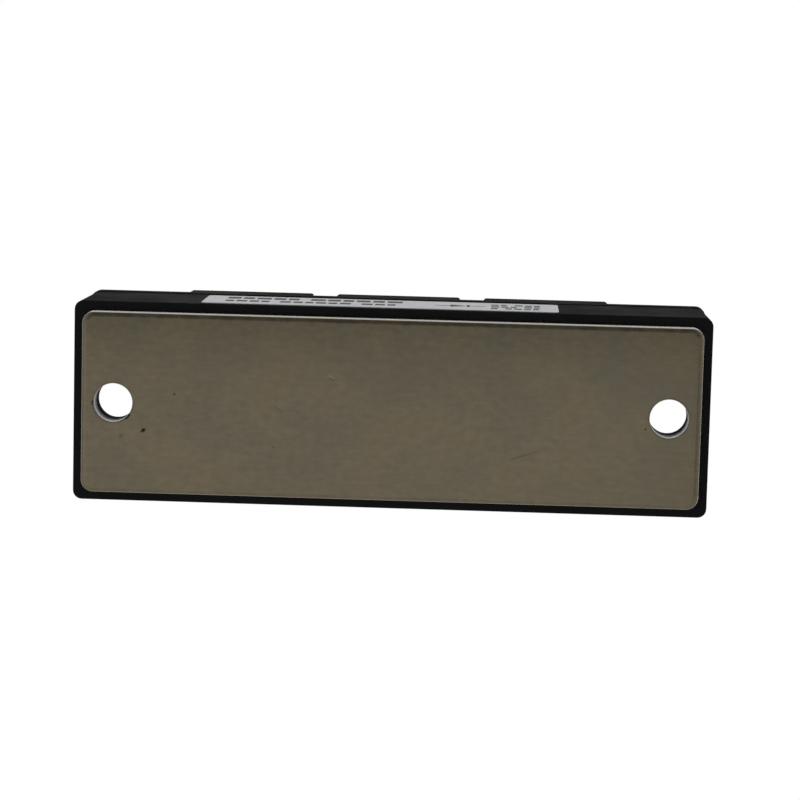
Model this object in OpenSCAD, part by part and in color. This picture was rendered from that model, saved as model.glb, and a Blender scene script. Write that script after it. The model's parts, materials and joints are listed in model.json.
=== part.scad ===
// Potted three-arm bridge rectifier module with a screwed-down metal base plate.
// The base plate's underside is the plane z = 0 and the screw terminals point to +Z.
// X runs along the module, and the label is on the -Y long side.

/* [Case] */
// Length of the case at its rim
case_l = 108; // [100:0.5:120]
// Width of the case at its rim
case_w = 34.1; // [32:0.1:40]
// Height of the closed case above the base plate's underside
case_h = 23; // [21:0.5:26]
// Draft of the long walls, in degrees
draft_deg = 0.4; // [0.2:0.1:1.5]
// Draft of the end walls, in degrees
end_draft_deg = 0.9; // [0.2:0.1:1.5]
// Radius of the four upright corners
corner_r = 1.5; // [0.8:0.1:2]
// Thickness of the long walls
wall_t = 3.1; // [2.6:0.1:3.4]
// Thickness of the lid, whose edge shows above the walls
lid_t = 3; // [2.5:0.1:3.5]
// How far the lid stands out over the walls
lid_lip = 0.12; // [0.08:0.01:0.3]
// Small chamfer at the top of the walls, for the parting line below the lid
parting_c = 0.3; // [0.1:0.05:0.5]

/* [Base plate] */
// Length of the base plate
plate_l = 104.8; // [97:0.1:117]
// Width of the base plate
plate_w = 30.8; // [29:0.1:36.5]
// Thickness of the base plate
plate_t = 3; // [2.5:0.1:4]
// How far the plate stands proud of the case rim
plate_proud = 2; // [1:0.1:2.2]
// Corner radius of the plate
plate_r = 2; // [1:0.1:3]
// Width of the edge that stamping rolled over
roll_w = 0.9; // [0.3:0.05:1.2]
// Depth of the edge that stamping rolled over
roll_d = 0.3; // [0.1:0.05:0.6]

/* [Mounting] */
// Distance between the two mounting holes
mount_pitch = 94; // [90:0.5:96]
// Diameter of the mounting holes
mount_d = 6.5; // [5.5:0.1:7]
// Thickness of the plastic flange that a mounting screw clamps
flange_t = 3; // [2:0.1:5]
// Width of the wells for the mounting screws
well_w = 14; // [12:0.5:15]

/* [Terminals] */
// Distance between neighbouring terminals
pitch = 26; // [25:0.1:27]
// Length of each raised terminal block
block_l = 22.3; // [20:0.1:23]
// Height of the blocks above the lid
block_h = 4.8; // [3:0.1:6]
// Draft of the blocks' ends, in degrees
block_draft_deg = 3; // [0:0.5:6]
// Width of the copper strap
strap_w = 14; // [12:0.5:15]
// Thickness of the copper strap
strap_t = 1.5; // [1:0.1:2]
// Inner radius of the strap's bends
strap_r = 1; // [0.8:0.1:1.4]
// Distance of the strap's riser from the middle
riser_y = 9; // [8.5:0.1:10]
// Nominal diameter of the terminal screws
screw_d = 6; // [5:0.5:6]
// Length of the screws below their heads
screw_l = 14; // [12:0.5:15]

/* [Rectifier cells] */
// Diameter of the lower molybdenum disc
lower_disc_d = 16; // [14:0.5:18]
// Diameter of the diode chip
chip_d = 14; // [12:0.5:15]
// Diameter of the upper molybdenum disc
upper_disc_d = 10.5; // [8:0.5:11]

/* [Label] */
// Left end of the label
label_x0 = -32.7; // [-45:0.1:-20]
// Right end of the label
label_x1 = 28; // [20:0.1:45]
// Lower edge of the label
label_z0 = 3.4; // [2.6:0.1:5]
// Upper edge of the label
label_z1 = 17.4; // [15:0.1:19]

/* [Hidden] */
$fn = 64;
eps = 0.01;
// How far a cutting shape runs past the face that it opens
cut = 1;
rim_z = plate_proud;
fit_gap = 0.1;
cell_x = [-pitch, 0, pitch];

// Cavity and lid
well_wall = 2;
cavity_l = mount_pitch - well_w - 2 * well_wall;
cavity_w = case_w - 2 * wall_t;
cavity_r = 1;
seat_step = 1.2;
lid_z = case_h - lid_t;
spigot_h = 1.5;
spigot_z = lid_z - spigot_h;
seat_l = cavity_l + 2 * seat_step;
seat_w = cavity_w + 2 * seat_step;
block_top = case_h + block_h;
edge_c = 0.35;
block_r = 0.4;
seal_t = 0.5;
gel_top = 9;
well_r = well_w / 2;
flange_top = plate_t + flange_t;

// Hollow cores of the corner columns
core_wall = 2.2;
core_roof = 2.5;
core_l = 8.4;
core_edge = 1.1;
core_x1 = plate_l / 2 - core_edge;
core_y1 = plate_w / 2 - core_edge;

// Rectifier cell stack, measured up from the base plate
cell_y = -2;
lower_disc_t = 1;
chip_t = 0.4;
upper_disc_t = 0.6;
chip_z = plate_t + lower_disc_t;
upper_disc_z = chip_z + chip_t;
foot_z = upper_disc_z + upper_disc_t;
foot_reach = 5;

// Terminal hardware
tab_y0 = -7;
tab_r = 1.5;
tab_top = block_top + strap_t;
strap_hole_d = screw_d + 0.5;
shank_d = screw_d - 0.1;
tip_hole_d = screw_d + 1;
slot_gap = 0.2;
nut_af = screw_d * 10 / 6;
nut_h = screw_d * 5 / 6;
nut_z = block_top - nut_h;
washer_d = 2 * screw_d;
washer_hole_d = screw_d + 0.4;
washer_t = 1.6;
spring_d = 1.9 * screw_d;
spring_hole_d = screw_d + 0.2;
spring_t = 1.5;
spring_split = 1.2;
spring_slant = 25;
head_z = tab_top + washer_t + spring_t;
head_h = 4;
recess_w = 1.3;
recess_l = 5.4;
recess_h = 2.2;
tip_z = head_z - screw_l;
tip_c = 0.7;
tip_room = 1;
boss_d = 10;
boss_floor = 1;
boss_z = tip_z - tip_room - boss_floor;
label_t = 0.1;
label_r = 1;

// Straight steps in each moulded corner, and the ledge below a chamfer
corner_steps = 5;
ledge = 0.05;

// Steps and least corner radius of the plate's rolled edge, and the ease of its hole edges
roll_steps = 4;
roll_r = 0.2;
hole_c = 0.25;

CELLS = [1, 2, 3];

// Shared outlines

// Rectangle about the origin with true round corners
module round_rect(l, w, r) {
    square([l - 2 * r, w], center = true);
    square([l, w - 2 * r], center = true);
    for (x = [-1, 1], y = [-1, 1])
        translate([x * (l / 2 - r), y * (w / 2 - r)]) circle(r);
}

// Rectangle about the origin with corners rounded in a few straight steps
module stepped_rect(l, w, r) {
    polygon([
        for (quarter = [0 : 3], i = [0 : corner_steps])
            let (
                middle = 90 * quarter + 45,
                turn = 90 * (quarter + i / corner_steps)
            )
            [
                sign(cos(middle)) * (l / 2 - r) + r * cos(turn),
                sign(sin(middle)) * (w / 2 - r) + r * sin(turn)
            ]
    ]);
}

// How far the drafted long walls and end walls have come in at a height
function wall_in(z) = (z - rim_z) * tan(draft_deg);
function end_in(z) = (z - rim_z) * tan(end_draft_deg);

// Length and width of the walls at a height
function wall_l(z) = case_l - 2 * end_in(z);
function wall_w(z) = case_w - 2 * wall_in(z);

// Tapered block of rounded outline between two heights, with its two footprints
module tapered(z0, z1, l0, w0, l1, w1, r) {
    translate([0, 0, z0])
        linear_extrude(height = z1 - z0, scale = [l1 / l0, w1 / w0], slices = 1, $fn = 4)
            stepped_rect(l0, w0, r);
}

// Drafted body whose top edge is chamfered, with a fine ledge below the chamfer.
// The second footprint is the one that the chamfer starts from.
module moulded(z0, z1, l0, w0, l1, w1, r, c) {
    tapered(z0, z1 - c, l0, w0, l1, w1, r);
    tapered(z1 - c - eps, z1, l1 - 2 * ledge, w1 - 2 * ledge, l1 - 2 * c, w1 - 2 * c, r);
}

function hex_r(af) = af / sqrt(3);

// Places its children at each of the two mounting holes, the well's mouth towards +X
module at_mounts() {
    for (turn = [0, 180])
        rotate(turn) translate([mount_pitch / 2, 0, 0]) children();
}

module at_terminals() {
    for (x = cell_x) translate([x, 0, 0]) children();
}

// Base plate

// Quarter-round roll of the plate's lower edge, as insets at rising heights
function roll_in(i) = roll_w * (1 - sin(90 * i / roll_steps));
function roll_z(i) = roll_d * (1 - cos(90 * i / roll_steps));

module plate_slice(i) {
    inset = roll_in(i);
    radius = max(plate_r - inset, roll_r);
    translate([0, 0, roll_z(i)])
        linear_extrude(height = eps)
            round_rect(plate_l - 2 * inset, plate_w - 2 * inset, radius, $fn = 32);
}

module base_plate() {
    color("dimgray") difference() {
        union() {
            for (i = [0 : roll_steps - 1])
                hull() {
                    plate_slice(i);
                    plate_slice(i + 1);
                }
            translate([0, 0, roll_d])
                linear_extrude(height = plate_t - roll_d) round_rect(plate_l, plate_w, plate_r);
        }
        at_mounts() {
            translate([0, 0, -cut]) cylinder(d = mount_d, h = plate_t + 2 * cut);
            translate([0, 0, -eps]) cylinder(d1 = mount_d + 2 * hole_c, d2 = mount_d, h = hole_c);
        }
    }
}

// Bead of silicone adhesive in the step between the cavity wall and the plate
module plate_seal() {
    color("gainsboro") translate([0, 0, plate_t])
        linear_extrude(height = seal_t) difference() {
            round_rect(seat_l, seat_w, cavity_r + seat_step);
            round_rect(cavity_l, cavity_w, cavity_r);
        }
}

// Case and lid

// U-shaped well over one mounting hole, open upwards and at the end of the case
module screw_well() {
    translate([0, 0, flange_top]) {
        cylinder(r = well_r, h = case_h);
        translate([0, -well_r, 0]) cube([case_l, well_w, case_h]);
    }
    translate([0, 0, rim_z]) cylinder(d = mount_d, h = case_h);
}

// Hollow in the foot of each corner column, closed below by the plate
module column_core() {
    core_y0 = well_r + core_wall;
    translate([core_x1 - core_l, core_y0, plate_t - eps])
        cube([core_l, core_y1 - core_y0, lid_z - core_roof - plate_t]);
}

module case_shell() {
    top = lid_z - parting_c;
    moulded(rim_z, lid_z, case_l, case_w, wall_l(top), wall_w(top), corner_r, parting_c);
}

module case_frame() {
    color([0.14, 0.14, 0.14]) difference() {
        case_shell();
        translate([0, 0, rim_z - eps])
            linear_extrude(height = plate_t - rim_z + eps)
                round_rect(plate_l + 2 * fit_gap, plate_w + 2 * fit_gap, plate_r + fit_gap);
        translate([0, 0, plate_t - eps])
            linear_extrude(height = seal_t + eps) round_rect(seat_l, seat_w, cavity_r + seat_step);
        linear_extrude(height = case_h) round_rect(cavity_l, cavity_w, cavity_r);
        at_mounts() screw_well();
        for (x = [0, 1], y = [0, 1]) mirror([x, 0, 0]) mirror([0, y, 0]) column_core();
    }
}

// Slab of the lid, with a small lip over the walls
module lid_slab() {
    top = case_h - edge_c;
    lip = 2 * lid_lip;
    moulded(
        lid_z, case_h, wall_l(lid_z) + lip, wall_w(lid_z) + lip,
        wall_l(top) + lip, wall_w(top) + lip, corner_r, edge_c
    );
}

// Raised block that carries one terminal, level with the long edges of the lid
module terminal_block() {
    root = case_h - cut;
    top = block_top - edge_c;
    lip = 2 * (lid_lip - ledge);
    top_l = block_l - 2 * (top - root) * tan(block_draft_deg);
    moulded(root, block_top, block_l, wall_w(root) + lip, top_l, wall_w(top) + lip, block_r, edge_c);
}

// Slot for the strap's riser, with its upper edge eased for the bend
module strap_slot() {
    width = strap_w + 2 * slot_gap;
    y0 = riser_y - slot_gap;
    y1 = riser_y + strap_t + slot_gap;
    ease = strap_r + slot_gap;
    translate([-width / 2, 0, 0]) rotate([90, 0, 90]) linear_extrude(height = width)
        polygon([
            [y0, spigot_z - cut], [y1, spigot_z - cut], [y1, block_top + cut],
            [y0 - ease, block_top + cut], [y0 - ease, block_top], [y0, block_top - ease]
        ]);
}

// Hexagon pocket for the captive nut, and the blind hole for the screw's tip
module nut_pocket() {
    translate([0, 0, nut_z]) cylinder(r = hex_r(nut_af + 2 * fit_gap), h = nut_h + cut, $fn = 6);
    translate([0, 0, tip_z - tip_room]) cylinder(d = tip_hole_d, h = nut_z);
}

module lid() {
    color([0.16, 0.16, 0.16]) difference() {
        union() {
            lid_slab();
            translate([0, 0, spigot_z]) linear_extrude(height = spigot_h + eps)
                round_rect(cavity_l - 2 * fit_gap, cavity_w - 2 * fit_gap, cavity_r);
            at_terminals() {
                terminal_block();
                translate([0, 0, boss_z]) cylinder(d = boss_d, h = lid_z - boss_z + eps);
            }
        }
        at_mounts() screw_well();
        at_terminals() {
            strap_slot();
            nut_pocket();
        }
    }
}

// Rectifier cells

module cell_disc(c, z, d, t) {
    translate([cell_x[c - 1], cell_y, z]) cylinder(d = d, h = t);
}

module lower_disc(c) {
    color("silver") cell_disc(c, plate_t, lower_disc_d, lower_disc_t);
}

module diode_chip(c) {
    color("darkslategray") cell_disc(c, chip_z, chip_d, chip_t);
}

module upper_disc(c) {
    color("silver") cell_disc(c, upper_disc_z, upper_disc_d, upper_disc_t);
}

// Terminals and their hardware

// Quarter ring of strap about an inner bend centre, swept from one direction
module strap_bend(y, z, turn) {
    outer = strap_r + strap_t;
    translate([y, z]) rotate(turn) intersection() {
        difference() {
            circle(outer);
            circle(strap_r);
        }
        square(outer + cut);
    }
}

// Side view of the strap: foot on the cell, riser through the lid, tab over the nut
module strap_profile() {
    foot_y0 = cell_y - foot_reach;
    bend_y = riser_y - strap_r;
    low_z = foot_z + strap_t + strap_r;
    high_z = block_top - strap_r;
    translate([foot_y0, foot_z]) square([bend_y - foot_y0, strap_t]);
    strap_bend(bend_y, low_z, -90);
    translate([riser_y, low_z]) square([strap_t, high_z - low_z]);
    strap_bend(bend_y, high_z, 0);
    translate([tab_y0, block_top]) square([bend_y - tab_y0, strap_t]);
}

module strap() {
    plan_l = riser_y + strap_t - tab_y0;
    difference() {
        intersection() {
            translate([-strap_w / 2, 0, 0]) rotate([90, 0, 90])
                linear_extrude(height = strap_w) strap_profile();
            translate([0, tab_y0 + plan_l / 2 + tab_r, 0]) linear_extrude(height = tab_top)
                round_rect(strap_w, plan_l + 2 * tab_r, tab_r);
        }
        translate([0, 0, block_top - cut]) cylinder(d = strap_hole_d, h = strap_t + 2 * cut);
    }
}

module terminal(c) {
    color("lightgray") translate([cell_x[c - 1], 0, 0]) strap();
}

// Hexagon prism with its corners turned down on the top, and below too when asked
module hex_body(af, h, both) {
    r = hex_r(af);
    drop = (r - af / 2) * tan(30);
    intersection() {
        cylinder(r = r, h = h, $fn = 6);
        union() {
            translate([0, 0, h - drop]) cylinder(r1 = r, r2 = af / 2, h = drop);
            translate([0, 0, both ? drop : 0]) cylinder(r = r, h = h - (both ? 2 : 1) * drop);
            if (both) cylinder(r1 = af / 2, r2 = r, h = drop);
        }
    }
}

module terminal_nuts() {
    color("silver") at_terminals() translate([0, 0, nut_z]) difference() {
        hex_body(nut_af, nut_h, true);
        translate([0, 0, -cut]) cylinder(d = screw_d, h = nut_h + 2 * cut);
    }
}

module flat_washers() {
    color("silver") at_terminals() translate([0, 0, tab_top])
        linear_extrude(height = washer_t) difference() {
            circle(d = washer_d);
            circle(d = washer_hole_d);
        }
}

// Ring with a slanted split
module spring_washers() {
    color("silver") at_terminals() translate([0, 0, tab_top + washer_t]) difference() {
        linear_extrude(height = spring_t) difference() {
            circle(d = spring_d);
            circle(d = spring_hole_d);
        }
        translate([spring_d / 2, 0, spring_t / 2]) rotate([spring_slant, 0, 0])
            cube([spring_d, spring_split, 3 * spring_t], center = true);
    }
}

// Hexagon head with a cross recess, and a plain shank for the thread
module terminal_screws() {
    color("silver") at_terminals() {
        translate([0, 0, head_z]) difference() {
            hex_body(nut_af, head_h, false);
            translate([0, 0, head_h - recess_h]) linear_extrude(height = recess_h + cut) {
                square([recess_l, recess_w], center = true);
                square([recess_w, recess_l], center = true);
            }
        }
        translate([0, 0, tip_z + tip_c]) cylinder(d = shank_d, h = screw_l - tip_c + eps);
        translate([0, 0, tip_z]) cylinder(d1 = shank_d - 2 * tip_c, d2 = shank_d, h = tip_c);
    }
}

// Fillings and label

module cavity_fill(z0, z1) {
    translate([0, 0, z0]) linear_extrude(height = z1 - z0)
        round_rect(cavity_l, cavity_w, cavity_r);
}

module silicone_gel() {
    color("lightblue") difference() {
        cavity_fill(plate_t, gel_top);
        for (c = CELLS) {
            lower_disc(c);
            diode_chip(c);
            upper_disc(c);
            terminal(c);
        }
    }
}

module sealing_resin() {
    color([0.1, 0.1, 0.1]) difference() {
        cavity_fill(gel_top, spigot_z);
        for (c = CELLS) terminal(c);
        at_terminals() translate([0, 0, boss_z]) cylinder(d = boss_d, h = case_h);
    }
}

module rating_label() {
    l = label_x1 - label_x0;
    h = label_z1 - label_z0;
    color("gainsboro") translate([0, -case_w / 2, rim_z]) rotate([90 - draft_deg, 0, 0])
        translate([label_x0 + l / 2, label_z0 - rim_z + h / 2, 0])
            linear_extrude(height = label_t) round_rect(l, h, label_r);
}

base_plate();
plate_seal();
case_frame();
lid();
for (c = CELLS) {
    lower_disc(c);
    diode_chip(c);
    upper_disc(c);
    terminal(c);
}
terminal_nuts();
flat_washers();
spring_washers();
terminal_screws();
silicone_gel();
sealing_resin();
rating_label();
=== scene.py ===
import json
import math

import bmesh
import bpy
from mathutils import Matrix, Vector


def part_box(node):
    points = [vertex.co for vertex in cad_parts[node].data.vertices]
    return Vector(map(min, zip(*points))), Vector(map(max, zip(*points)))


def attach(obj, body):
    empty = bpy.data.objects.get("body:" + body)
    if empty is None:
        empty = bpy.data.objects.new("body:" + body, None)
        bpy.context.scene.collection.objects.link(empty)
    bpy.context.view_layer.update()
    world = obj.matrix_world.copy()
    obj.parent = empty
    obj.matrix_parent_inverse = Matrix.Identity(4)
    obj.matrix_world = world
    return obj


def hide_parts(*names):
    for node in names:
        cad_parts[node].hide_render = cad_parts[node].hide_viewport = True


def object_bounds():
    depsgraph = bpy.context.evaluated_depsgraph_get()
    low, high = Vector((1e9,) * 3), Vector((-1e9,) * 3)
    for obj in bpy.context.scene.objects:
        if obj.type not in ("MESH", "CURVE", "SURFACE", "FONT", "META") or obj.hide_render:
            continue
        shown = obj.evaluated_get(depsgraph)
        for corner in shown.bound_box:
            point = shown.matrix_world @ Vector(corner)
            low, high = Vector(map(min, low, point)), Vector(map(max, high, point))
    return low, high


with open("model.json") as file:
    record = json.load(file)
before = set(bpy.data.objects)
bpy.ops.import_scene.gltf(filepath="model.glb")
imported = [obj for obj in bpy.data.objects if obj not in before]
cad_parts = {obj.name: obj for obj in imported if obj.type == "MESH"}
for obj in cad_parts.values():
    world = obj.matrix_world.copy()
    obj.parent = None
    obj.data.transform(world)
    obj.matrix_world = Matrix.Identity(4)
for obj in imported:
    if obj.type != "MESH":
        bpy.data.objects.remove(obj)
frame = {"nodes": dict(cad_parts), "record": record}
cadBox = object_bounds()
nodes = frame["nodes"]
mm = 0.001
scene = bpy.context.scene
scene.view_settings.view_transform = "Standard"
print("frame loaded,", len(nodes), "nodes")

# camera at the photograph's view: it looks up at the base plate, label side to the top
photoCamera = {
    "lens": 126.0,
    "sensor": 36.0,
    "clipStart": 10 * mm,
    "location": (17.80 * mm, -63.15 * mm, -468.23 * mm),
    "pitch": 0.13015,
    "yaw": 0.03425,
    "roll": 0.02961,
}


def makeCamera(spec):
    data = bpy.data.cameras.new("photoCamera")
    data.lens = spec["lens"]
    data.sensor_width = spec["sensor"]
    data.clip_start = spec["clipStart"]
    camera = bpy.data.objects.new("photoCamera", data)
    scene.collection.objects.link(camera)
    turn = (Matrix.Rotation(spec["roll"], 3, "Z") @ Matrix.Rotation(spec["yaw"], 3, "Y")
            @ Matrix.Rotation(spec["pitch"], 3, "X"))
    facing = turn.transposed() @ Matrix.Diagonal((1, -1, -1))
    camera.matrix_world = Matrix.Translation(spec["location"]) @ facing.to_4x4()
    scene.camera = camera


makeCamera(photoCamera)

# small helpers for node trees
noiseSpan = (0.3, 0.7)  # where most of a noise's values lie
maskSpan = (0.0, 1.0)


def newGroup(name, inputs, outputs):
    group = bpy.data.node_groups.new(name, "ShaderNodeTree")
    for label, kind, value in inputs:
        socket = group.interface.new_socket(label, in_out="INPUT", socket_type=f"NodeSocket{kind}")
        if value is not None:
            socket.default_value = value
    for label, kind in outputs:
        group.interface.new_socket(label, in_out="OUTPUT", socket_type=f"NodeSocket{kind}")
    start = group.nodes.new("NodeGroupInput")
    end = group.nodes.new("NodeGroupOutput")
    return group, start.outputs, end.inputs


def addNode(tree, kind, **settings):
    made = tree.nodes.new(kind)
    for key, value in settings.items():
        setattr(made, key, value)
    return made


def joinTo(tree, source, target):
    tree.links.new(source, target)


def fillSocket(tree, socket, value):
    if isinstance(value, tuple):
        socket.default_value = (*value, 1.0) if socket.type == "RGBA" else value
    elif isinstance(value, (int, float)):
        socket.default_value = value
    else:
        joinTo(tree, value, socket)


def mathNode(tree, operation, *values):
    made = addNode(tree, "ShaderNodeMath", operation=operation)
    for socket, value in zip(made.inputs, values):
        fillSocket(tree, socket, value)
    return made.outputs[0]


def noiseNode(tree, vector, scale, detail=2.0, rough=0.5):
    made = addNode(tree, "ShaderNodeTexNoise")
    for label, value in (("Vector", vector), ("Scale", scale), ("Detail", detail), ("Roughness", rough)):
        fillSocket(tree, made.inputs[label], value)
    return made.outputs["Fac"]


def rangeNode(tree, value, low, high, outLow=0.0, outHigh=1.0):
    made = addNode(tree, "ShaderNodeMapRange", clamp=True, interpolation_type="SMOOTHSTEP")
    labels = ("Value", "From Min", "From Max", "To Min", "To Max")
    for label, amount in zip(labels, (value, low, high, outLow, outHigh)):
        fillSocket(tree, made.inputs[label], amount)
    return made.outputs["Result"]


def mixColor(tree, factor, first, second, blend="MIX"):
    made = addNode(tree, "ShaderNodeMix", data_type="RGBA", blend_type=blend)
    # a Mix node holds its colour sockets after those for numbers and vectors
    for socket, value in ((made.inputs[0], factor), (made.inputs[6], first), (made.inputs[7], second)):
        fillSocket(tree, socket, value)
    return made.outputs[2]


def stretched(tree, vector, factors):
    made = addNode(tree, "ShaderNodeMapping")
    made.inputs["Scale"].default_value = factors
    joinTo(tree, vector, made.inputs["Vector"])
    return made.outputs["Vector"]


def axisParts(tree, vector):
    made = addNode(tree, "ShaderNodeSeparateXYZ")
    joinTo(tree, vector, made.inputs[0])
    return made.outputs


# shader groups for the finishes; a value named noise holds its scale, detail and roughness
cloudShape = {"detail": 4.0, "rough": 0.6, "span": (0.34, 0.66)}
brushShape = {"detail": 3.0, "rough": 0.65, "broadScale": 0.16, "broadShare": 0.6}
grainShape = {"swellScale": 0.3, "swellDetail": 3.0, "swellRough": 0.6, "patchNoise": (90.0, 5.0, 0.62)}


def cloudGroup(shape):
    # two tones drifting into each other, as plating, resin and film do
    group, src, out = newGroup("toneClouds", [
        ("Vector", "Vector", None),
        ("Size", "Float", 60.0),
        ("Tone A", "Color", (0.5, 0.5, 0.5, 1)),
        ("Tone B", "Color", (0.4, 0.4, 0.4, 1)),
    ], [("Color", "Color"), ("Mask", "Float")])
    broad = noiseNode(group, src["Vector"], src["Size"], shape["detail"], shape["rough"])
    mask = rangeNode(group, broad, *shape["span"])
    joinTo(group, mixColor(group, mask, src["Tone A"], src["Tone B"]), out["Color"])
    joinTo(group, mask, out["Mask"])
    return group


def brushGroup(shape):
    # fine lines along X that rolling and brushing leave in sheet metal
    group, src, out = newGroup("brushLines", [
        ("Vector", "Vector", None),
        ("Fineness", "Float", 900.0),
        ("Run", "Float", 0.02),
    ], [("Height", "Float"), ("Streak", "Float")])
    pull = addNode(group, "ShaderNodeCombineXYZ")
    for axis, factor in (("X", src["Run"]), ("Y", 1.0), ("Z", 1.0)):
        fillSocket(group, pull.inputs[axis], factor)
    drawn = addNode(group, "ShaderNodeVectorMath", operation="MULTIPLY")
    joinTo(group, src["Vector"], drawn.inputs[0])
    joinTo(group, pull.outputs[0], drawn.inputs[1])
    along = drawn.outputs[0]
    fine = noiseNode(group, along, src["Fineness"], shape["detail"], shape["rough"])
    broadScale = mathNode(group, "MULTIPLY", src["Fineness"], shape["broadScale"])
    broad = mathNode(group, "MULTIPLY", noiseNode(group, along, broadScale), shape["broadShare"])
    joinTo(group, mathNode(group, "ADD", fine, broad), out["Height"])
    joinTo(group, rangeNode(group, fine, *noiseSpan), out["Streak"])
    return group


def grainGroup(shape):
    # spark-eroded mould skin: small blunt grains over a slow swell
    group, src, out = newGroup("mouldGrain", [
        ("Vector", "Vector", None),
        ("Grain", "Float", 5200.0),
    ], [("Height", "Float"), ("Patch", "Float")])
    cells = addNode(group, "ShaderNodeTexVoronoi", feature="SMOOTH_F1")
    joinTo(group, src["Vector"], cells.inputs["Vector"])
    joinTo(group, src["Grain"], cells.inputs["Scale"])
    swellScale = mathNode(group, "MULTIPLY", src["Grain"], shape["swellScale"])
    swell = noiseNode(group, src["Vector"], swellScale, shape["swellDetail"], shape["swellRough"])
    joinTo(group, mathNode(group, "ADD", cells.outputs["Distance"], swell), out["Height"])
    joinTo(group, noiseNode(group, src["Vector"], *shape["patchNoise"]), out["Patch"])
    return group


cloudTones = cloudGroup(cloudShape)
brushLines = brushGroup(brushShape)
mouldGrain = grainGroup(grainShape)


def useGroup(tree, group, vector, **values):
    made = addNode(tree, "ShaderNodeGroup", node_tree=group)
    joinTo(tree, vector, made.inputs["Vector"])
    for label, value in values.items():
        fillSocket(tree, made.inputs[label.replace("_", " ")], value)
    return made.outputs


def startMaterial(name):
    mat = bpy.data.materials.new(name)
    mat.use_nodes = True
    tree = mat.node_tree
    shader = tree.nodes["Principled BSDF"]
    place = addNode(tree, "ShaderNodeTexCoord").outputs["Object"]
    return mat, tree, shader, place


def addClouds(tree, place, look):
    return useGroup(tree, cloudTones, place, Size=look["cloudSize"],
                    Tone_A=look["toneA"], Tone_B=look["toneB"])


def addRoughness(tree, shader, mask, span, look):
    joinTo(tree, rangeNode(tree, mask, *span, *look["roughness"]), shader.inputs["Roughness"])


def addBump(tree, shader, height, look):
    strength, depth = look["bump"]
    made = addNode(tree, "ShaderNodeBump")
    made.inputs["Strength"].default_value = strength
    made.inputs["Distance"].default_value = depth
    joinTo(tree, height, made.inputs["Height"])
    joinTo(tree, made.outputs["Normal"], shader.inputs["Normal"])


print("shader groups made")

# nickel-plated base plate, rebuilt with the smooth edge roll that stamping leaves
plateLook = {
    "rollWidth": 0.9 * mm,
    "rollDepth": 0.3 * mm,
    "cornerRadius": 2.0 * mm,
    "leastRadius": 0.25 * mm,  # of the corners inside the roll
    "holeRoll": 0.17 * mm,
    "rollSteps": 8,
    "cornerSteps": 12,
    "holeSteps": 96,
    "flatWeight": 100,  # how far the large faces set the shading
    # underside: dull plating over rolled sheet
    "toneA": (0.182, 0.150, 0.098),
    "toneB": (0.157, 0.139, 0.100),
    "cloudSize": 75.0,
    "brush": {"Fineness": 1500.0, "Run": 0.1},
    "streakAmount": 0.03,
    "grainStretch": (0.7, 1.0, 1.0),
    "grainNoise": (900.0, 1.0, 0.5),
    "grainAmount": 0.15,
    "roughness": (0.24, 0.29),
    "bump": (0.015, 0.02 * mm),
    # sheared wall above the roll: paler, thinly plated, with upright drag lines
    "wallTone": (0.74, 0.73, 0.71),
    "wallMetal": 0.1,
    "wallRoughness": 0.62,
    "wallRise": (0.6, 0.95),  # where it starts, in parts of the roll's depth
    "dragStretch": (1.0, 1.0, 0.06),
    "dragNoise": (2200.0, 3.0, 0.6),
    "dragAmount": 0.25,
    # walls of the holes: burnished by the punch near the underside, torn further in, where the darker
    # tone is also painted shade of the hole's depth
    "boreTone": (0.72, 0.71, 0.69),
    "tornShadeTone": (0.15, 0.145, 0.13),
    "tornShadeRise": (1.2 * mm, 1.9 * mm),
    "boreRise": 0.8,  # where they are bare, in parts of the hole's roll
    "boreReach": 1.1,  # how far from the axis they count, in parts of the rolled radius
    # painted shade in the roll round each hole, thin here and thick there
    "rimRadius": 3.48 * mm,
    "rimWidth": 0.16 * mm,
    "rimShade": (0.12, 0.55),
    "rimScale": 320.0,
    "rimSpan": (0.38, 0.62),
    # small dark pits with a soft ring, and spots of painted shade: x, y, size and depth
    "pitAndShadeTone": (0.02, 0.017, 0.012),
    "pitCore": 0.45,
    "pitRelief": 3.0,
    "pitsAndShade": [
        (-41.8, 4.6, 0.44, 1.0), (-42.1, 4.8, 0.30, 0.7), (-41.6, 4.4, 0.26, 0.6),
        (-36.6, -1.7, 0.24, 0.8), (-45.6, 5.6, 0.45, 0.3), (-19.6, 6.8, 0.22, 0.5),
        (51.4, -14.2, 0.2, 0.6), (43.1, 1.9, 0.3, 0.5),
        # spots of painted shade at the edge roll of the left hole
        (-44.25, 2.10, 0.30, 1.0), (-44.50, 2.40, 0.32, 1.0), (-44.78, 2.65, 0.28, 1.0),
        (-50.49, 0.0, 0.30, 1.0), (-50.47, 0.35, 0.26, 0.8),
    ],
    "scratchFade": 0.5,  # the ends fade from here on, in parts of the half length
    "scratches": [
        {"middle": (22.7, 7.0), "half": 3.4, "width": 0.2, "turn": -18.0, "tone": (0.120, 0.103, 0.072)},
        {"middle": (-19.0, 0.3), "half": 1.0, "width": 0.16, "turn": 33.0, "tone": (0.125, 0.108, 0.076)},
        {"middle": (-10.0, -5.0), "half": 0.7, "width": 0.2, "turn": 28.0, "tone": (0.120, 0.103, 0.072)},
        {"middle": (-10.0, -5.4), "half": 0.7, "width": 0.2, "turn": 28.0, "tone": (0.240, 0.215, 0.165)},
    ],
}
holes = next(m["dims"] for m in frame["record"]["mounts"] if m["name"] == "mounting_holes")
holeRadius = holes["hole_r_mm"] * mm
holeAside = holes["spacing_x_mm"] / 2 * mm


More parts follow.
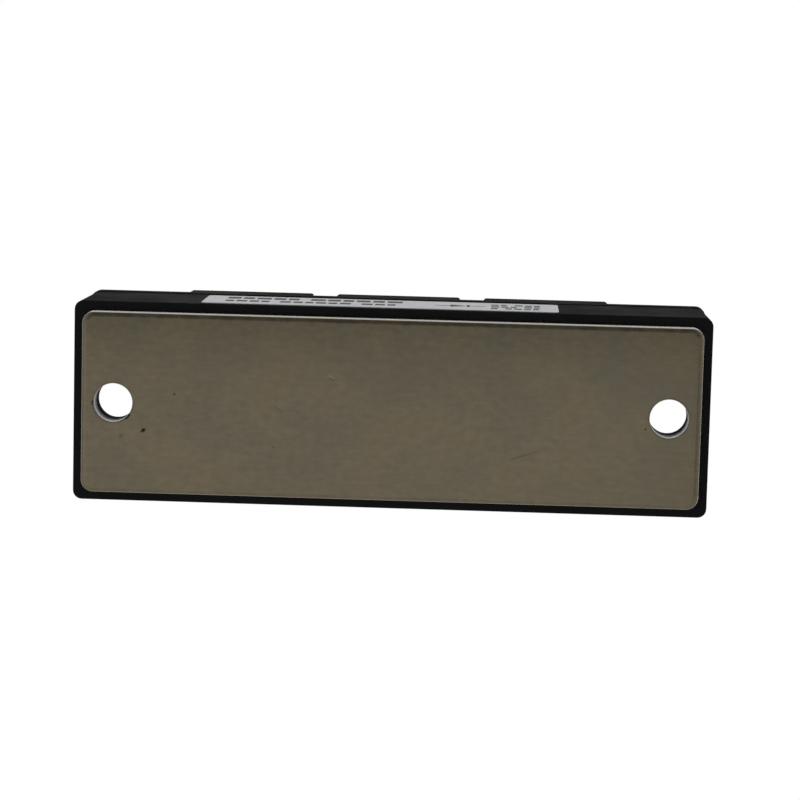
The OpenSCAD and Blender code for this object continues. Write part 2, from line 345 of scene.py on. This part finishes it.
def plateOutline(low, high, inset, look):
    points = []
    steps = look["cornerSteps"]
    r = max(look["cornerRadius"] - inset, look["leastRadius"])
    corners = ((high.x, high.y, 0), (low.x, high.y, 90), (low.x, low.y, 180), (high.x, low.y, 270))
    for x, y, start in corners:
        cx = x - math.copysign(inset + r, x)
        cy = y - math.copysign(inset + r, y)
        for k in range(steps + 1):
            a = math.radians(start + 90 * k / steps)
            points.append((cx + r * math.cos(a), cy + r * math.sin(a)))
    return points


def circleOutline(middle, radius, steps):
    turn = [2 * math.pi * k / steps for k in range(steps)]
    return [(middle + radius * math.cos(a), radius * math.sin(a)) for a in turn]


def rollProfile(width, depth, steps):
    # inset and rise along a rolled edge, a quarter of an ellipse
    turn = [math.pi / 2 * k / steps for k in range(steps + 1)]
    return [(width * (1 - math.sin(t)), depth * (1 - math.cos(t))) for t in turn]


def addLoop(bm, points, z):
    return [bm.verts.new((x, y, z)) for x, y in points]


def bridge(bm, lower, upper):
    count = len(lower)
    for k in range(count):
        n = (k + 1) % count
        bm.faces.new((lower[k], lower[n], upper[n], upper[k]))


def loopEdges(bm, loop):
    return [bm.edges.get((loop[k], loop[(k + 1) % len(loop)])) for k in range(len(loop))]


def addWall(bm, loops):
    for lower, upper in zip(loops, loops[1:]):
        bridge(bm, lower, upper)
    return loopEdges(bm, loops[0]), loopEdges(bm, loops[-1])


def makePiece(name, bm, material, smooth=True):
    bmesh.ops.recalc_face_normals(bm, faces=bm.faces)
    mesh = bpy.data.meshes.new(name)
    bm.to_mesh(mesh)
    bm.free()
    for face in mesh.polygons:
        face.use_smooth = smooth
    piece = bpy.data.objects.new(name, mesh)
    scene.collection.objects.link(piece)
    mesh.materials.append(material)
    return piece


def pitAndShadeMask(tree, place, look):
    # dark spots: real pits, and painted shade at the edge of the left hole
    mask = None
    for x, y, size, depth in look["pitsAndShade"]:
        away = addNode(tree, "ShaderNodeVectorMath", operation="DISTANCE")
        joinTo(tree, place, away.inputs[0])
        away.inputs[1].default_value = (x * mm, y * mm, 0.0)
        spot = rangeNode(tree, away.outputs["Value"], size * look["pitCore"] * mm, size * mm, depth, 0.0)
        mask = spot if mask is None else mathNode(tree, "MAXIMUM", mask, spot)
    return mask


def scratchMask(tree, place, spec, fade):
    x, y = spec["middle"]
    half = spec["half"] * mm
    turned = addNode(tree, "ShaderNodeMapping", vector_type="TEXTURE")
    turned.inputs["Location"].default_value = (x * mm, y * mm, 0.0)
    turned.inputs["Rotation"].default_value = (0.0, 0.0, math.radians(spec["turn"]))
    joinTo(tree, place, turned.inputs["Vector"])
    parts = axisParts(tree, turned.outputs["Vector"])
    along = mathNode(tree, "ABSOLUTE", parts["X"])
    across = mathNode(tree, "ABSOLUTE", parts["Y"])
    ends = rangeNode(tree, along, half * fade, half, 1.0, 0.0)
    sides = rangeNode(tree, across, 0.0, spec["width"] * mm, 1.0, 0.0)
    return mathNode(tree, "MULTIPLY", ends, sides)


def holeDistance(tree, place):
    # how far a point is from the axis of the nearer mounting hole
    parts = axisParts(tree, place)
    aside = mathNode(tree, "SUBTRACT", mathNode(tree, "ABSOLUTE", parts["X"]), holeAside)
    squares = [mathNode(tree, "POWER", part, 2.0) for part in (aside, parts["Y"])]
    return mathNode(tree, "SQRT", mathNode(tree, "ADD", *squares))


def boreMask(tree, away, look):
    # 1 on the walls of both mounting holes, 0 elsewhere
    edge = holeRadius + look["holeRoll"]
    return rangeNode(tree, away, edge, edge * look["boreReach"], 1.0, 0.0)


def rollShadeMask(tree, place, away, look):
    # painted shade: a dark ring in the roll round each hole, uneven along it
    aside = mathNode(tree, "ABSOLUTE", mathNode(tree, "SUBTRACT", away, look["rimRadius"]))
    line = rangeNode(tree, aside, 0.0, look["rimWidth"], 1.0, 0.0)
    uneven = rangeNode(tree, noiseNode(tree, place, look["rimScale"]), *look["rimSpan"], *look["rimShade"])
    return mathNode(tree, "MULTIPLY", line, uneven)


def plateMaterial(look):
    mat, tree, shader, place = startMaterial("dullNickel")
    clouds = addClouds(tree, place, look)
    lines = useGroup(tree, brushLines, place, **look["brush"])
    streaked = mixColor(tree, look["streakAmount"], clouds["Color"], lines["Streak"], "OVERLAY")
    grain = noiseNode(tree, stretched(tree, place, look["grainStretch"]), *look["grainNoise"])
    face = mixColor(tree, look["grainAmount"], streaked, grain, "OVERLAY")
    for scratch in look["scratches"]:
        mask = scratchMask(tree, place, scratch, look["scratchFade"])
        face = mixColor(tree, mask, face, scratch["tone"])
    pitsAndShade = pitAndShadeMask(tree, place, look)
    away = holeDistance(tree, place)
    # the pits and the painted shade round the holes darken the face
    pitsAndRollShade = mathNode(tree, "MAXIMUM", pitsAndShade, rollShadeMask(tree, place, away, look))
    face = mixColor(tree, pitsAndRollShade, face, look["pitAndShadeTone"])
    # sheared walls at the outline and in the holes
    rise = axisParts(tree, place)["Z"]
    inBore = boreMask(tree, away, look)
    outerWall = rangeNode(tree, rise, *(look["rollDepth"] * part for part in look["wallRise"]))
    aboveRoll = rangeNode(tree, rise, 0.0, look["holeRoll"] * look["boreRise"])
    wall = mathNode(tree, "MAXIMUM", outerWall, mathNode(tree, "MULTIPLY", inBore, aboveRoll))
    # darker deeper in the holes: torn metal, with painted shade
    tornShade = rangeNode(tree, rise, *look["tornShadeRise"])
    bore = mixColor(tree, tornShade, look["boreTone"], look["tornShadeTone"])
    tone = mixColor(tree, inBore, look["wallTone"], bore)
    drag = noiseNode(tree, stretched(tree, place, look["dragStretch"]), *look["dragNoise"])
    sheared = mixColor(tree, look["dragAmount"], tone, drag, "OVERLAY")
    joinTo(tree, mixColor(tree, wall, face, sheared), shader.inputs["Base Color"])
    metal = rangeNode(tree, wall, *maskSpan, 1.0, look["wallMetal"])
    joinTo(tree, metal, shader.inputs["Metallic"])
    satin = rangeNode(tree, grain, *noiseSpan, *look["roughness"])
    rough = rangeNode(tree, wall, *maskSpan, satin, look["wallRoughness"])
    joinTo(tree, rough, shader.inputs["Roughness"])
    sunk = mathNode(tree, "MULTIPLY", pitsAndShade, look["pitRelief"])
    addBump(tree, shader, mathNode(tree, "SUBTRACT", lines["Height"], sunk), look)
    return mat


def makePlate(look):
    low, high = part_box("base_plate")
    bm = bmesh.new()
    loops = []
    for inset, rise in rollProfile(look["rollWidth"], look["rollDepth"], look["rollSteps"]):
        loops.append(addLoop(bm, plateOutline(low, high, inset, look), low.z + rise))
    loops.append(addLoop(bm, plateOutline(low, high, 0, look), high.z))
    underEdges, topEdges = addWall(bm, loops)
    for middle in (-holeAside, holeAside):
        rings = []
        for inset, rise in rollProfile(look["holeRoll"], look["holeRoll"], look["rollSteps"]):
            outline = circleOutline(middle, holeRadius + inset, look["holeSteps"])
            rings.append(addLoop(bm, outline, low.z + rise))
        rings.append(addLoop(bm, circleOutline(middle, holeRadius, look["holeSteps"]), high.z))
        under, top = addWall(bm, rings)
        underEdges += under
        topEdges += top
    for edges in (underEdges, topEdges):
        bmesh.ops.triangle_fill(bm, use_beauty=True, edges=edges)
    plate = makePiece("basePlate", bm, plateMaterial(look))
    weighted = plate.modifiers.new("flatFaces", "WEIGHTED_NORMAL")
    weighted.weight = look["flatWeight"]
    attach(plate, "root")
    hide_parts("base_plate")


makePlate(plateLook)
print("base plate made")

# fine edge rounds on the pieces that come from CAD
edgeLook = {
    "weld": 0.002 * mm,
    "flatAngle": 0.4,  # faces that differ by less become one
    "sharpAngle": 28,  # edges that bend by more get a round
    "sliver": 0.0005 * mm,
}


def dressNode(name, material):
    node = nodes[name]
    node.data.materials.clear()
    node.data.materials.append(material)
    return node


def roundEdges(node, width, segments):
    weld = node.modifiers.new("joinFaces", "WELD")
    weld.merge_threshold = edgeLook["weld"]
    flat = node.modifiers.new("flatFaces", "DECIMATE")
    flat.decimate_type = "DISSOLVE"
    flat.angle_limit = math.radians(edgeLook["flatAngle"])
    bevel = node.modifiers.new("edgeRound", "BEVEL")
    bevel.width = width
    bevel.segments = segments
    bevel.limit_method = "ANGLE"
    bevel.angle_limit = math.radians(edgeLook["sharpAngle"])
    seam = node.modifiers.new("joinSlivers", "WELD")
    seam.merge_threshold = edgeLook["sliver"]
    weighted = node.modifiers.new("edgeShade", "WEIGHTED_NORMAL")
    weighted.keep_sharp = True


# moulded black case and lid
caseLook = {
    "toneA": (0.0062, 0.0062, 0.0064),
    "toneB": (0.0072, 0.0072, 0.0075),
    "cloudSize": 140.0,
    "grainSize": 4200.0,
    "roughness": (0.62, 0.78),
    "specular": 0.012,
    # the textured skin has a soft sheen aslant, less of it head on and none at a grazing look
    "sheen": (0.21, 0.31),
    "sheenHeadOn": 0.3,
    "sheenRise": (0.01, 0.10),
    "sheenFade": (0.50, 0.82),
    "sheenRoughness": 0.46,
    "bump": (0.35, 0.03 * mm),
    "edge": 0.14 * mm,
    "edgeSteps": 3,
}


def plasticMaterial(look):
    mat, tree, shader, place = startMaterial("blackMouldedPlastic")
    clouds = addClouds(tree, place, look)
    grain = useGroup(tree, mouldGrain, place, Grain=look["grainSize"])
    joinTo(tree, clouds["Color"], shader.inputs["Base Color"])
    addRoughness(tree, shader, grain["Patch"], noiseSpan, look)
    shader.inputs["Specular IOR Level"].default_value = look["specular"]
    facing = addNode(tree, "ShaderNodeLayerWeight").outputs["Facing"]
    aslant = rangeNode(tree, facing, *look["sheenRise"], look["sheenHeadOn"], 1.0)
    kept = mathNode(tree, "MULTIPLY", aslant, rangeNode(tree, facing, *look["sheenFade"], 1.0, 0.0))
    patchy = rangeNode(tree, grain["Patch"], *noiseSpan, *look["sheen"])
    joinTo(tree, mathNode(tree, "MULTIPLY", kept, patchy), shader.inputs["Coat Weight"])
    shader.inputs["Coat Roughness"].default_value = look["sheenRoughness"]
    addBump(tree, shader, grain["Height"], look)
    return mat


blackPlastic = plasticMaterial(caseLook)
for name in ("case_frame", "lid"):
    roundEdges(dressNode(name, blackPlastic), caseLook["edge"], caseLook["edgeSteps"])
print("case dressed")

# terminal straps, nickel over copper
strapLook = {
    "toneA": (0.50, 0.475, 0.425),
    "toneB": (0.44, 0.42, 0.375),
    "cloudSize": 240.0,
    "brush": {"Fineness": 2600.0},
    "streakAmount": 0.15,
    "roughness": (0.24, 0.36),
    "bump": (0.08, 0.02 * mm),
    "edge": 0.18 * mm,
    "edgeSteps": 3,
}


def strapMaterial(look):
    mat, tree, shader, place = startMaterial("strapNickel")
    clouds = addClouds(tree, place, look)
    lines = useGroup(tree, brushLines, place, **look["brush"])
    streaked = mixColor(tree, look["streakAmount"], clouds["Color"], lines["Streak"], "OVERLAY")
    joinTo(tree, streaked, shader.inputs["Base Color"])
    shader.inputs["Metallic"].default_value = 1.0
    addRoughness(tree, shader, lines["Streak"], maskSpan, look)
    addBump(tree, shader, lines["Height"], look)
    return mat


strapNickel = strapMaterial(strapLook)
for number in (1, 2, 3):
    strap = dressNode(f"terminal_{number}", strapNickel)
    roundEdges(strap, strapLook["edge"], strapLook["edgeSteps"])

# screws, washers and nuts, bright zinc
zincLook = {
    "toneA": (0.56, 0.575, 0.60),
    "toneB": (0.49, 0.505, 0.53),
    "cloudSize": 420.0,
    "fineNoise": (2600.0, 3.0, 0.6),
    "roughness": (0.27, 0.32),
    "bump": (0.04, 0.01 * mm),
    "edge": 0.14 * mm,
    "edgeSteps": 2,
}


def zincMaterial(look):
    mat, tree, shader, place = startMaterial("brightZinc")
    joinTo(tree, addClouds(tree, place, look)["Color"], shader.inputs["Base Color"])
    shader.inputs["Metallic"].default_value = 1.0
    fine = noiseNode(tree, place, *look["fineNoise"])
    addRoughness(tree, shader, fine, noiseSpan, look)
    addBump(tree, shader, fine, look)
    return mat


brightZinc = zincMaterial(zincLook)
for name in ("terminal_nuts", "flat_washers", "spring_washers", "terminal_screws"):
    roundEdges(dressNode(name, brightZinc), zincLook["edge"], zincLook["edgeSteps"])
print("terminals dressed")

# side label, silver-white film with a generic print of blocks and one diode sign
labelLook = {
    "toneA": (0.53, 0.537, 0.556),
    "toneB": (0.485, 0.493, 0.511),
    "cloudSize": 300.0,
    "fineNoise": (3000.0, 3.0, 0.6),
    "roughness": (0.50, 0.62),
    "specular": 0.12,
    "bump": (0.05, 0.01 * mm),
    "thickness": 0.1 * mm,
}
printLook = {
    "toneA": (0.022, 0.022, 0.024),
    "toneB": (0.034, 0.034, 0.036),
    "cloudSize": 900.0,
    "roughness": (0.55, 0.70),
    "sink": 0.01 * mm,
    "rise": 0.02 * mm,
    "corner": 0.18,
    "cornerSteps": 3,
    # block widths are uneven, as print is: least width, spread, and what each block and each word adds
    "uneven": (0.8, 0.4, 0.618, 0.31),
    # lines of blocks: left end, lower edge, height, block width, gap, word gap, blocks in each word
    "lines": [
        (-29.0, 12.2, 3.0, 2.2, 0.45, 1.6, (5, 6)),
        (-29.0, 7.2, 2.4, 1.6, 0.45, 1.4, (4, 6, 3)),
        (16.5, 12.6, 1.8, 1.2, 0.35, 1.0, (2, 3)),
        (16.5, 9.4, 1.8, 1.2, 0.35, 1.0, (3, 2)),
        (16.5, 6.2, 1.8, 1.2, 0.35, 1.0, (1, 4)),
    ],
    "sign": {"x": 9.5, "z": 10.4, "half": 1.9, "reach": 2.85, "line": 0.45, "lead": 2.6, "corner": 0.09},
}


def filmMaterial(look):
    mat, tree, shader, place = startMaterial("silverFilm")
    joinTo(tree, addClouds(tree, place, look)["Color"], shader.inputs["Base Color"])
    fine = noiseNode(tree, place, *look["fineNoise"])
    addRoughness(tree, shader, fine, noiseSpan, look)
    shader.inputs["Specular IOR Level"].default_value = look["specular"]
    addBump(tree, shader, fine, look)
    return mat


def inkMaterial(look):
    mat, tree, shader, place = startMaterial("labelInk")
    clouds = addClouds(tree, place, look)
    joinTo(tree, clouds["Color"], shader.inputs["Base Color"])
    addRoughness(tree, shader, clouds["Mask"], maskSpan, look)
    shader.inputs["Specular IOR Level"].default_value = labelLook["specular"]
    return mat


def boxOutline(x0, z0, x1, z1, corner, steps):
    points = []
    corners = ((x1, z1, 0, -1, -1), (x0, z1, 90, 1, -1), (x0, z0, 180, 1, 1), (x1, z0, 270, -1, 1))
    for x, z, start, sx, sz in corners:
        for k in range(steps + 1):
            a = math.radians(start + 90 * k / steps)
            points.append((x + corner * (sx + math.cos(a)), z + corner * (sz + math.sin(a))))
    return points


def blockOutlines(look):
    outlines = []
    least, spread, perBlock, perWord = look["uneven"]
    for left, foot, tall, wide, gap, space, words in look["lines"]:
        x = left
        for word in words:
            for k in range(word):
                width = wide * (least + spread * ((k * perBlock + word * perWord) % 1.0))
                block = boxOutline(x, foot, x + width, foot + tall, look["corner"], look["cornerSteps"])
                outlines.append(block)
                x += width + gap
            x += space
    return outlines


def signOutlines(spec, steps):
    x, z, half, line = spec["x"], spec["z"], spec["half"], spec["line"]
    tip = x + spec["reach"]
    far = tip + line
    bars = [
        (tip, z - half, far, z + half),
        (x - spec["lead"], z - line / 2, x, z + line / 2),
        (far, z - line / 2, far + spec["lead"], z + line / 2),
    ]
    arrow = [(x, z - half), (tip, z), (x, z + half)]
    return [arrow] + [boxOutline(*bar, spec["corner"], steps) for bar in bars]


def makePrint(look):
    low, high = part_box("rating_label")
    slope = (high.y - low.y - labelLook["thickness"]) / (high.z - low.z)
    bm = bmesh.new()
    for outline in blockOutlines(look) + signOutlines(look["sign"], look["cornerSteps"]):
        sheets = []
        for lift in (-look["sink"], look["rise"]):
            faceY = [low.y + slope * (z * mm - low.z) - lift for x, z in outline]
            sheets.append([bm.verts.new((x * mm, y, z * mm)) for (x, z), y in zip(outline, faceY)])
        bridge(bm, sheets[0], sheets[1])
        for sheet in sheets:
            bm.faces.new(sheet)
    ink = makePiece("labelPrint", bm, inkMaterial(look), smooth=False)
    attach(ink, "root")


dressNode("rating_label", filmMaterial(labelLook))
makePrint(printLook)
print("label dressed")

# inner pieces: cells, seal and fillings
innerLook = {
    "molybdenum": {
        "nodes": [f"{level}_disc_{k}" for level in ("lower", "upper") for k in (1, 2, 3)],
        "toneA": (0.42, 0.42, 0.43),
        "toneB": (0.36, 0.36, 0.38),
        "cloudSize": 350.0,
        "metal": 1.0,
        "roughness": (0.30, 0.45),
    },
    "silicon": {
        "nodes": [f"diode_chip_{k}" for k in (1, 2, 3)],
        "toneA": (0.10, 0.11, 0.13),
        "toneB": (0.07, 0.08, 0.10),
        "cloudSize": 350.0,
        "metal": 0.6,
        "roughness": (0.12, 0.20),
    },
    "sealSilicone": {
        "nodes": ["plate_seal"],
        "toneA": (0.62, 0.62, 0.60),
        "toneB": (0.55, 0.55, 0.52),
        "cloudSize": 350.0,
        "metal": 0.0,
        "roughness": (0.40, 0.50),
    },
    "clearGel": {
        "nodes": ["silicone_gel"],
        "toneA": (0.62, 0.68, 0.72),
        "toneB": (0.56, 0.62, 0.66),
        "cloudSize": 350.0,
        "metal": 0.0,
        "roughness": (0.08, 0.16),
    },
    "castResin": {
        "nodes": ["sealing_resin"],
        "toneA": (0.012, 0.012, 0.012),
        "toneB": (0.02, 0.02, 0.02),
        "cloudSize": 350.0,
        "metal": 0.0,
        "roughness": (0.20, 0.30),
    },
}


def innerMaterial(name, look):
    mat, tree, shader, place = startMaterial(name)
    clouds = addClouds(tree, place, look)
    joinTo(tree, clouds["Color"], shader.inputs["Base Color"])
    shader.inputs["Metallic"].default_value = look["metal"]
    addRoughness(tree, shader, clouds["Mask"], maskSpan, look)
    return mat


for finish, look in innerLook.items():
    inner = innerMaterial(finish, look)
    for name in look["nodes"]:
        dressNode(name, inner)
print("inner pieces dressed")

# floor that shows from above, and in metal further up; the view and the light from below pass through it
floorLook = {
    "size": 1.6,
    "drop": 0.2 * mm,
    "toneA": (0.80, 0.80, 0.79),
    "shade": 0.985,  # second tone, in parts of the first
    "cloudSize": 6.0,
    "roughness": 0.8,
    "specular": 0.2,
    "mirroredFrom": 15 * mm,
}


def floorMaterial(look):
    mat, tree, shader, place = startMaterial("paleFloor")
    toneB = tuple(c * look["shade"] for c in look["toneA"])
    clouds = addClouds(tree, place, {**look, "toneB": toneB})
    joinTo(tree, clouds["Color"], shader.inputs["Base Color"])
    shader.inputs["Roughness"].default_value = look["roughness"]
    shader.inputs["Specular IOR Level"].default_value = look["specular"]
    clear = addNode(tree, "ShaderNodeBsdfTransparent")
    under = addNode(tree, "ShaderNodeNewGeometry").outputs["Backfacing"]
    path = addNode(tree, "ShaderNodeLightPath").outputs
    distant = mathNode(tree, "GREATER_THAN", path["Ray Length"], look["mirroredFrom"])
    mirrored = mathNode(tree, "MULTIPLY", path["Is Glossy Ray"], distant)
    unseen = mathNode(tree, "SUBTRACT", 1.0, mathNode(tree, "MAXIMUM", path["Is Camera Ray"], mirrored))
    choose = addNode(tree, "ShaderNodeMixShader")
    joinTo(tree, mathNode(tree, "MAXIMUM", under, unseen), choose.inputs[0])
    joinTo(tree, shader.outputs["BSDF"], choose.inputs[1])
    joinTo(tree, clear.outputs["BSDF"], choose.inputs[2])
    joinTo(tree, choose.outputs["Shader"], tree.nodes["Material Output"].inputs["Surface"])
    return mat


def makeFloor(look):
    bm = bmesh.new()
    half = look["size"] / 2
    z = cadBox[0].z - look["drop"]
    bm.faces.new(addLoop(bm, [(-half, -half), (half, -half), (half, half), (-half, half)], z))
    floor = makePiece("floor", bm, floorMaterial(look), smooth=False)
    if floor.data.polygons[0].normal.z < 0:
        floor.data.flip_normals()


makeFloor(floorLook)
print("floor made")

# studio: white behind the object, a dimmer room on the camera's side, soft lamps
studio = {
    # room level below the object, from the -Y side (0) over straight down (0.5) to the +Y side (1)
    "roomStops": [
        (0.00, 1.10), (0.06, 1.00), (0.13, 0.18), (0.30, 0.16), (0.47, 0.15),
        (0.53, 0.28), (0.60, 0.35), (0.66, 0.62), (1.00, 0.68),
    ],
    "endLevel": 0.62,
    "endFade": (0.20, 0.55),
    "topLevel": 0.6,
    "horizon": (-0.25, 0.15),
    "backdrop": (1.0, 1.0, 1.0),
    "lamps": {
        "sideLamp": {
            "at": (0, -0.55, -0.12),
            "aim": (0, -0.017, 0.01),
            "size": (0.50, 0.25),
            "power": 0.55,
        },
        "skylight": {
            "at": (0.40, 0.24, 0.55),
            "aim": (0, 0, 0.02),
            "size": (0.50, 0.50),
            "power": 2.6,
        },
        "platePanel": {
            "at": (-0.019, 0.017, -0.075),
            "aim": (-0.019, 0.017, 0),
            "size": (0.163, 0.0457),
            "power": 0.0096,
        },
    },
}


def makeWorld(look):
    world = bpy.data.worlds.new("studio")
    world.use_nodes = True
    scene.world = world
    tree = world.node_tree
    way = axisParts(tree, addNode(tree, "ShaderNodeTexCoord").outputs["Generated"])
    ramp = addNode(tree, "ShaderNodeValToRGB")
    stops = ramp.color_ramp.elements
    while len(stops) < len(look["roomStops"]):
        stops.new(0.5)  # moved to its place below
    for stop, (at, level) in zip(stops, look["roomStops"]):
        stop.position = at
        stop.color = (level, level, level, 1)
    across = mathNode(tree, "MULTIPLY_ADD", way["Y"], 0.5, 0.5)  # from -1 to 1 onto 0 to 1
    joinTo(tree, across, ramp.inputs["Fac"])
    ends = rangeNode(tree, mathNode(tree, "ABSOLUTE", way["X"]), *look["endFade"])
    below = mixColor(tree, ends, ramp.outputs["Color"], (look["endLevel"],) * 3)
    upward = rangeNode(tree, way["Z"], *look["horizon"])
    room = mixColor(tree, upward, below, (look["topLevel"],) * 3)
    # the camera sees the backdrop, and so do mirrors that look up
    path = addNode(tree, "ShaderNodeLightPath").outputs
    seen = mathNode(tree, "MAXIMUM", path["Is Camera Ray"], path["Is Transmission Ray"])
    mirrored = mathNode(tree, "MULTIPLY", path["Is Glossy Ray"], upward)
    white = mathNode(tree, "MAXIMUM", seen, mirrored)
    joinTo(tree, mixColor(tree, white, room, look["backdrop"]), tree.nodes["Background"].inputs["Color"])


def makeLamp(name, spec):
    data = bpy.data.lights.new(name, "AREA")
    data.shape = "RECTANGLE"
    data.size, data.size_y = spec["size"]
    data.energy = spec["power"]
    lamp = bpy.data.objects.new(name, data)
    scene.collection.objects.link(lamp)
    # the lamp's width stays level along X
    away = (Vector(spec["at"]) - Vector(spec["aim"])).normalized()
    across = (Vector((1, 0, 0)) - away * away.x).normalized()
    facing = Matrix((across, away.cross(across), away)).transposed()
    lamp.matrix_world = Matrix.Translation(spec["at"]) @ facing.to_4x4()
    lamp.visible_camera = False


makeWorld(studio)
for name, spec in studio["lamps"].items():
    makeLamp(name, spec)
print("studio lit")
